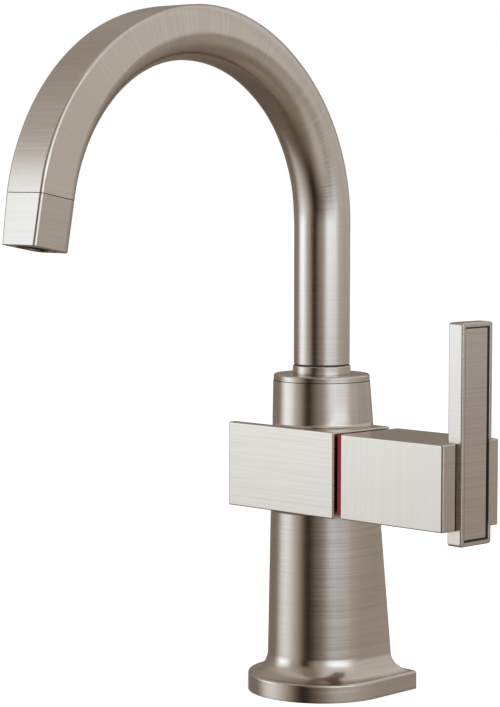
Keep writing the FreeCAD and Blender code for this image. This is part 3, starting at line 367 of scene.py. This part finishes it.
def worn_edges(tree):
    """1 on the corners, where hands and cloths polish the metal, and 0 on the faces."""
    rounded = add(tree, "Bevel", {"samples": 6}, radius=EDGE_WIDTH)
    plain = add(tree, "NewGeometry").outputs["Normal"]
    alike = add(tree, "VectorMath", {"operation": "DOT_PRODUCT"}, vector=plain)
    fill(alike.inputs[1], rounded.outputs["Normal"])
    spread = add(tree, "MapRange", value=alike.outputs["Value"], from_min=EDGE_NONE, from_max=EDGE_FULL)
    return result(spread)


def outside_painted_shade(tree):
    """1 on the open faces, and 0 deep in a gap between two pieces, where the colour gets painted shade."""
    free = add(tree, "AmbientOcclusion", {"samples": 8}, distance=PAINTED_SHADE_REACH).outputs["AO"]
    return result(add(tree, "MapRange", value=free, from_min=PAINTED_SHADE_FULL, from_max=PAINTED_SHADE_NONE))


print("strokes:", FINE_STROKE * 1000, "and", BROAD_STROKE * 1000, "mm wide")

# %% [markdown]
# ## The nickel recipe
#
# All nickel pieces share one recipe, and only the layout of the strokes and a few strengths differ. The
# strokes change three things at once, as real scratches do: the tone a little, the roughness, and the
# height of the surface through a Bump node. A painted texture could do this too, but noise on object
# coordinates keeps its scale on every piece and needs no unwrapping.

# %% Nickel recipe
STROKE_DARK, STROKE_LIGHT = 0.3, 0.7
CLOUD_SCALE = 35.0
BRUSH_ROUGHNESS, CLOUD_ROUGHNESS, EDGE_POLISH = 0.22, 0.05, 0.05
EDGE_WEAR = 0.6          # how far the strokes are rubbed away on a corner
STROKE_BUMP, STROKE_DEPTH = 0.06, 0.00004


def brushed_nickel(name, strokes, roughness=0.21, anisotropy=0.68, contrast=0.15, shape=None):
    """Brushed nickel, with its strokes laid out by a function of the node tree and the place."""
    made, tree, shader = start_material(name)
    coordinates = add(tree, "TexCoord").outputs
    across, streak = strokes(tree, coordinates["Object"], coordinates["Normal"])
    fine = stroke_noise(tree, coordinates["Object"], across, FINE_STROKE, FINE_LENGTH)
    broad = stroke_noise(tree, coordinates["Object"], across, BROAD_STROKE, BROAD_LENGTH)
    brush = chosen(tree, FINE_SHARE, broad, fine)
    clouds = result(add(tree, "TexNoise", vector=coordinates["Object"], scale=CLOUD_SCALE, detail=3.0))
    edges = worn_edges(tree)

    light = result(add(tree, "MapRange", value=brush, from_min=STROKE_DARK, from_max=STROKE_LIGHT))
    brushed = add(tree, "Mix", {"data_type": "RGBA"}, factor=light,
                  a=scaled(NICKEL, 1 - contrast / 2), b=scaled(NICKEL, 1 + contrast / 2))
    worn = add(tree, "Mix", {"data_type": "RGBA"}, factor=calculate(tree, "MULTIPLY", edges, EDGE_WEAR),
               a=result(brushed), b=scaled(NICKEL, 1))
    # Painted shade: deep in a gap between pieces the colour turns almost black
    shaded = add(tree, "Mix", {"data_type": "RGBA"}, factor=outside_painted_shade(tree),
                 a=scaled(NICKEL, PAINTED_SHADE_TONE), b=result(worn))
    fill(shader.inputs["Base Color"], result(shaded))

    least = roughness - (BRUSH_ROUGHNESS + CLOUD_ROUGHNESS) / 2
    rough = calculate(tree, "MULTIPLY_ADD", brush, BRUSH_ROUGHNESS, least)
    rough = calculate(tree, "MULTIPLY_ADD", clouds, CLOUD_ROUGHNESS, rough)
    fill(shader.inputs["Roughness"], calculate(tree, "MULTIPLY_ADD", edges, -EDGE_POLISH, rough))
    fill(shader.inputs["Metallic"], 1.0)
    fill(shader.inputs["Anisotropic"], anisotropy)
    turned = add(tree, "VectorTransform", {"convert_from": "OBJECT", "convert_to": "WORLD"}, vector=streak)
    fill(shader.inputs["Tangent"], result(turned))
    bump = add(tree, "Bump", strength=STROKE_BUMP, distance=STROKE_DEPTH, height=brush)
    if shape:
        fill(bump.inputs["Normal"], shape(tree, coordinates["Object"]))
    fill(shader.inputs["Normal"], bump.outputs["Normal"])
    return made


print("nickel:", NICKEL)

# %% [markdown]
# ## Which way the strokes run
#
# On the column and the block the belt ran level, so the strokes are rings or level lines, and the streak of
# light is upright. On the hub they run round its four sides. On the spout they circle the tube, so the streak
# follows the bend. The streak needs a little second direction for the end faces, where the first one would
# stand straight out of the surface.

# %% Stroke layouts
SECOND = 0.06
FACING = 0.8             # from here on a normal counts as pointing along an axis


def steady(tree, direction):
    """A vector that is the same all over."""
    made = add(tree, "CombineXYZ")
    for socket, value in zip(made.inputs, direction):
        fill(socket, value)
    return made.outputs["Vector"]


def level_strokes(tree, place, normal):
    """Strokes at one height each, and along X on the flat tops."""
    _, y, z = add(tree, "SeparateXYZ", vector=place).outputs
    facing_up = calculate(tree, "ABSOLUTE", add(tree, "SeparateXYZ", vector=normal).outputs["Z"])
    flat_top = calculate(tree, "GREATER_THAN", facing_up, FACING)
    return chosen(tree, flat_top, z, y), steady(tree, (0, SECOND, 1))


def hub_strokes(tree, place, normal):
    """Strokes round the four sides of the hub, and level on its ends."""
    x, _, z = add(tree, "SeparateXYZ", vector=place).outputs
    facing_out = calculate(tree, "ABSOLUTE", add(tree, "SeparateXYZ", vector=normal).outputs["X"])
    hub_end = calculate(tree, "GREATER_THAN", facing_out, FACING)
    return chosen(tree, hub_end, x, z), steady(tree, (SECOND, 0, 1))


print("layouts: level, hub")

# %% [markdown]
# ## The spout's strokes
#
# The spout is a leg, an arc and a short straight end. The distance along it is worked out in the shader: the
# height on the leg, the angle times the radius on the arc, and the distance past the arc's end on the tip.
# The same sizes give the direction of the streak, which is the way the water runs.

# %% Spout layout
ARC_RADIUS = 0.0782
ARC_HEIGHT = 0.2012
ARC_SWEEP = math.radians(169.5)
arc_end = Vector((math.cos(ARC_SWEEP) - 1, math.sin(ARC_SWEEP))) * ARC_RADIUS
end_course = Vector((-math.sin(ARC_SWEEP), math.cos(ARC_SWEEP)))


def hypotenuse(tree, first, second):
    """The long side of a right triangle."""
    squares = calculate(tree, "MULTIPLY_ADD", first, first, calculate(tree, "MULTIPLY", second, second))
    return calculate(tree, "SQRT", squares)


def spout_strokes(tree, place, normal):
    """Strokes that circle the spout, with the streak along it."""
    _, y, z = add(tree, "SeparateXYZ", vector=place).outputs
    over = calculate(tree, "ADD", y, ARC_RADIUS)
    above = calculate(tree, "SUBTRACT", z, ARC_HEIGHT)
    over_end = calculate(tree, "SUBTRACT", over, arc_end.x + ARC_RADIUS)
    above_end = calculate(tree, "SUBTRACT", above, arc_end.y)
    past = calculate(tree, "MULTIPLY", over_end, end_course.x)
    past = calculate(tree, "MULTIPLY_ADD", above_end, end_course.y, past)
    back_half = calculate(tree, "GREATER_THAN", over, 0.0)
    on_leg = calculate(tree, "MULTIPLY", back_half, calculate(tree, "LESS_THAN", above, 0.0))
    on_tip = calculate(tree, "GREATER_THAN", calculate(tree, "SUBTRACT", past, back_half), 0.0)

    around = calculate(tree, "MULTIPLY", calculate(tree, "ARCTAN2", above, over), ARC_RADIUS)
    along = chosen(tree, on_leg, around, above)
    along = chosen(tree, on_tip, along, calculate(tree, "ADD", past, ARC_SWEEP * ARC_RADIUS))

    reach = hypotenuse(tree, over, above)
    course_y = calculate(tree, "DIVIDE", calculate(tree, "MULTIPLY", above, -1.0), reach)
    course_z = calculate(tree, "DIVIDE", over, reach)
    course_y = chosen(tree, on_tip, chosen(tree, on_leg, course_y, 0.0), end_course.x)
    course_z = chosen(tree, on_tip, chosen(tree, on_leg, course_z, 1.0), end_course.y)
    course = add(tree, "CombineXYZ", x=SECOND, y=course_y, z=course_z)
    return along, course.outputs["Vector"]


print("spout's end leans:", round(math.degrees(ARC_SWEEP) - 180, 1), "degrees")

# %% [markdown]
# ## A smooth start of the bend
#
# The mesh of the spout is made of small flat facets, and where the leg meets the arc their averaged normals
# jump by a degree or two. A dull surface hides that, but on metal the bright band would break off there. The
# leg and the first part of the arc are a plain round tube, so the shader can do better than the facets: the
# true normal points straight away from the tube's middle line. Further on, where the tube turns square, the
# mesh's own normal takes over again. The mesh itself stays as it is.

# %% Round normal
ROUND_UNTIL, SQUARE_FROM = math.radians(26), math.radians(42)
SAME_SIDE = 0.9


def round_normal(tree, place):
    """The normal of the round tube on the leg and the start of the arc, and the mesh's own elsewhere."""
    x, y, z = add(tree, "SeparateXYZ", vector=place).outputs
    over = calculate(tree, "ADD", y, ARC_RADIUS)
    above = calculate(tree, "MAXIMUM", calculate(tree, "SUBTRACT", z, ARC_HEIGHT), 0.0)
    reach = hypotenuse(tree, over, above)
    stretch = calculate(tree, "SUBTRACT", 1.0, calculate(tree, "DIVIDE", ARC_RADIUS, reach))
    outward = add(tree, "CombineXYZ", x=x, y=calculate(tree, "MULTIPLY", over, stretch),
                  z=calculate(tree, "MULTIPLY", above, stretch))
    turned = add(tree, "VectorTransform", {"vector_type": "NORMAL", "convert_from": "OBJECT",
                                           "convert_to": "WORLD"}, vector=result(outward))
    exact = result(add(tree, "VectorMath", {"operation": "NORMALIZE"}, vector=result(turned)))
    own = add(tree, "NewGeometry").outputs["Normal"]
    alike = add(tree, "VectorMath", {"operation": "DOT_PRODUCT"}, vector=own)
    fill(alike.inputs[1], exact)
    outside = calculate(tree, "GREATER_THAN", alike.outputs["Value"], SAME_SIDE)
    still_round = add(tree, "MapRange", {"interpolation_type": "SMOOTHSTEP"},
                      value=calculate(tree, "ARCTAN2", above, over),
                      from_min=SQUARE_FROM, from_max=ROUND_UNTIL)
    share = calculate(tree, "MULTIPLY", outside, result(still_round))
    return result(add(tree, "Mix", {"data_type": "VECTOR"}, factor=share, a=own, b=exact))


print("round until:", round(math.degrees(ROUND_UNTIL)), "degrees of the arc")

# %% [markdown]
# ## Five nickel finishes
#
# The pieces are brushed one by one before the tap is put together, so they differ slightly. The hub is calm,
# the panel in the blade has the boldest strokes, and the spout gets the strokes that circle it.

# %% Nickel finishes
nickel_column = brushed_nickel("nickel_column", level_strokes)
nickel_hub = brushed_nickel("nickel_hub", hub_strokes, anisotropy=0.6, contrast=0.06)
nickel_blade = brushed_nickel("nickel_blade", level_strokes, contrast=0.10)
nickel_inlay = brushed_nickel("nickel_inlay", level_strokes, contrast=0.22)
nickel_spout = brushed_nickel("nickel_spout", spout_strokes, contrast=0.16, shape=round_normal)
print("nickel finishes: 5")

# %% [markdown]
# ## The other metals
#
# Inside the tap are brass and stainless steel. Machined brass has fine turning marks and a tarnish that
# comes in patches. The screws, clips and the aerator's screen are plain stainless steel with a fine grey
# bloom. A noise for the patches and a finer one for the marks drive colour, roughness and a slight bump.

# %% Inner metals
PATCH_SCALE = 160.0
DULL_START, DULL_END = 0.42, 0.68
DULL_ROUGHNESS, MARK_ROUGHNESS = 0.12, 0.1
MARK_BUMP, MARK_DEPTH = 0.15, 0.00005


def machined_metal(name, bright, dull, roughness, marks):
    """A bare metal with fine marks, and patches where it has dulled."""
    made, tree, shader = start_material(name)
    place = add(tree, "TexCoord").outputs["Object"]
    patches = result(add(tree, "TexNoise", vector=place, scale=PATCH_SCALE, detail=4.0))
    fine = result(add(tree, "TexNoise", vector=place, scale=marks, detail=2.0))
    dulled = result(add(tree, "MapRange", value=patches, from_min=DULL_START, from_max=DULL_END))
    tone = add(tree, "Mix", {"data_type": "RGBA"}, factor=dulled, a=(*bright, 1), b=(*dull, 1))
    fill(shader.inputs["Base Color"], result(tone))
    rough = calculate(tree, "MULTIPLY_ADD", dulled, DULL_ROUGHNESS, roughness)
    fill(shader.inputs["Roughness"], calculate(tree, "MULTIPLY_ADD", fine, MARK_ROUGHNESS, rough))
    fill(shader.inputs["Metallic"], 1.0)
    bump = add(tree, "Bump", strength=MARK_BUMP, distance=MARK_DEPTH, height=fine)
    fill(shader.inputs["Normal"], bump.outputs["Normal"])
    return made


machined_brass = machined_metal("machined_brass", (0.74, 0.55, 0.25), (0.55, 0.38, 0.16), 0.24, 2600.0)
plain_steel = machined_metal("plain_steel", (0.60, 0.60, 0.61), (0.50, 0.50, 0.50), 0.22, 3800.0)
print("inner metals: brass, steel")

# %% [markdown]
# ## Plastics, rubber and ceramic
#
# The black rings, the water tube, the seals and the ceramic discs are moulded or lapped. A moulded part takes
# the fine sparkle of its mould, rubber is duller and slightly dusty, and a lapped disc is almost polished.
# One recipe makes them all: a colour that drifts a little, a grain that roughens it, and a small bump.

# %% Moulded finishes
DRIFT_SCALE = 120.0
GRAIN_ROUGHNESS, GRAIN_DEPTH = 0.16, 0.00005


def moulded(name, colour, drift, roughness, grain, relief, gloss=0.5):
    """A moulded surface: two tones that drift, and a fine grain."""
    made, tree, shader = start_material(name)
    place = add(tree, "TexCoord").outputs["Object"]
    drifting = result(add(tree, "TexNoise", vector=place, scale=DRIFT_SCALE, detail=3.0))
    sparkle = result(add(tree, "TexNoise", vector=place, scale=grain, detail=2.0))
    tone = add(tree, "Mix", {"data_type": "RGBA"}, factor=drifting,
               a=scaled(colour, 1 - drift), b=scaled(colour, 1 + drift))
    fill(shader.inputs["Base Color"], result(tone))
    rough = calculate(tree, "MULTIPLY_ADD", sparkle, GRAIN_ROUGHNESS, roughness - GRAIN_ROUGHNESS / 2)
    fill(shader.inputs["Roughness"], rough)
    fill(shader.inputs["Specular IOR Level"], gloss)
    bump = add(tree, "Bump", strength=relief, distance=GRAIN_DEPTH, height=sparkle)
    fill(shader.inputs["Normal"], bump.outputs["Normal"])
    return made


black_moulding = moulded("black_moulding", (0.020, 0.020, 0.021), 0.25, 0.50, 3500.0, 0.25)
seal_rubber = moulded("seal_rubber", (0.018, 0.018, 0.018), 0.35, 0.74, 2200.0, 0.35)
lapped_ceramic = moulded("lapped_ceramic", (0.86, 0.85, 0.82), 0.02, 0.14, 5200.0, 0.04)
red_enamel = moulded("red_enamel", (0.26, 0.021, 0.024), 0.10, 0.60, 2800.0, 0.10, gloss=0.15)
core_moulding = moulded("core_moulding", (0.070, 0.070, 0.074), 0.15, 0.55, 3000.0, 0.25)
liner_moulding = moulded("liner_moulding", (0.80, 0.80, 0.77), 0.04, 0.42, 2600.0, 0.10)
aerator_moulding = moulded("aerator_moulding", (0.32, 0.32, 0.31), 0.08, 0.45, 3000.0, 0.15)
print("moulded finishes: 7")

# %% [markdown]
# ## Dressing the pieces
#
# Each CAD piece has one material slot, named after the record's list of materials. A table from that name to
# a finish dresses all of them, and the nickel pieces then get the layout of strokes that suits their shape.
# A picture of the blade would hang in the column as a dark stripe. Photographers turn it away or retouch it,
# and here the blade is simply left out of reflections.

# %% Assign the finishes
FINISHES = {
    "brushed_nickel": nickel_column, "brass": machined_brass, "stainless": plain_steel,
    "black_plastic": black_moulding, "rubber": seal_rubber, "ceramic": lapped_ceramic,
    "red_plate": red_enamel, "core_plastic": core_moulding, "liner_plastic": liner_moulding,
    "aerator_plastic": aerator_moulding,
}
OWN_STROKES = {
    "handle_hub": nickel_hub, "set_screw_plug": nickel_hub, "handle_blade": nickel_blade,
    "blade_inlay": nickel_inlay, "spout_tube": nickel_spout, "spout_tip": nickel_spout,
}
for subpart in frame["record"]["subparts"]:
    node = subpart["node"]
    finish = OWN_STROKES.get(node, FINISHES[subpart["material_slot"]])
    for slot in frame["nodes"][node].material_slots:
        slot.material = finish
for node in ("handle_blade", "inlay_pad", "blade_inlay"):
    frame["nodes"][node].visible_glossy = False

# %% [markdown]
# ## The view transform
#
# The colours are shown plainly, with the Standard view transform.

# %% Finish
bpy.context.scene.view_settings.view_transform = "Standard"
